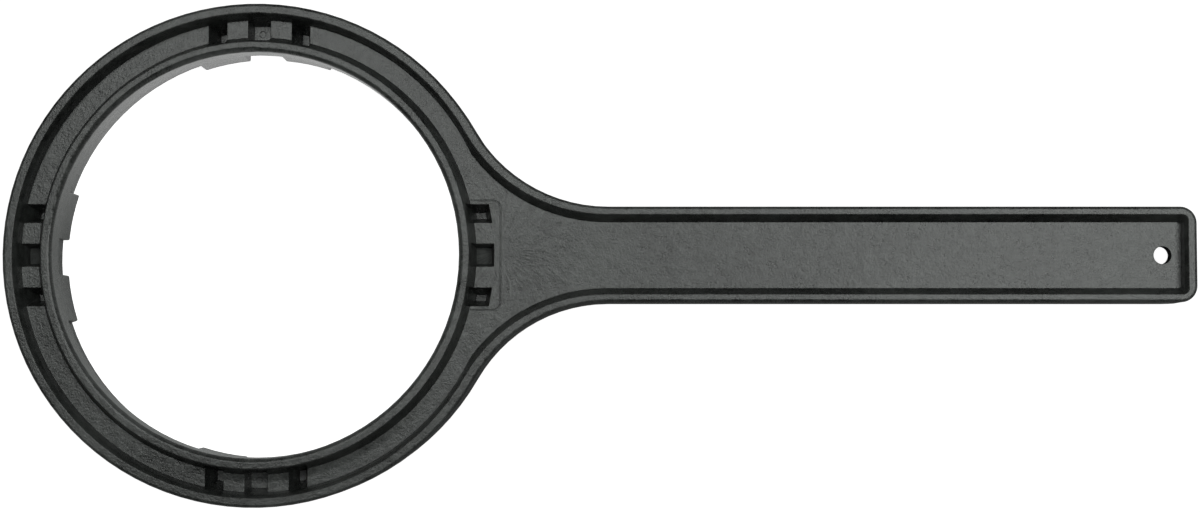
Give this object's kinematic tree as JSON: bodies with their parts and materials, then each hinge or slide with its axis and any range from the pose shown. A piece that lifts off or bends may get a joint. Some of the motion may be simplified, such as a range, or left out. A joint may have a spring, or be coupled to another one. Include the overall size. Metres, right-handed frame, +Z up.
{
  "type": "filter housing ring wrench",
  "caption": "Moulded plastic ring wrench with a long channelled handle, for turning the sump of a water filter housing; lugs inside the ring grip the sump's ribs",
  "frame": {"origin": "centre of the ring, on the underside", "axes": "+X from the ring's centre along the handle, +Z up out of the open channelled face, +Y across the ring"},
  "size_m": [0.3, 0.127, 0.02],
  "materials": {
    "moulded_plastic": "fine moulded satin, unpainted, dark grey to black"
  },
  "bodies": {
    "root": {"wrench_body": "moulded_plastic"}
  },
  "joints": []
}
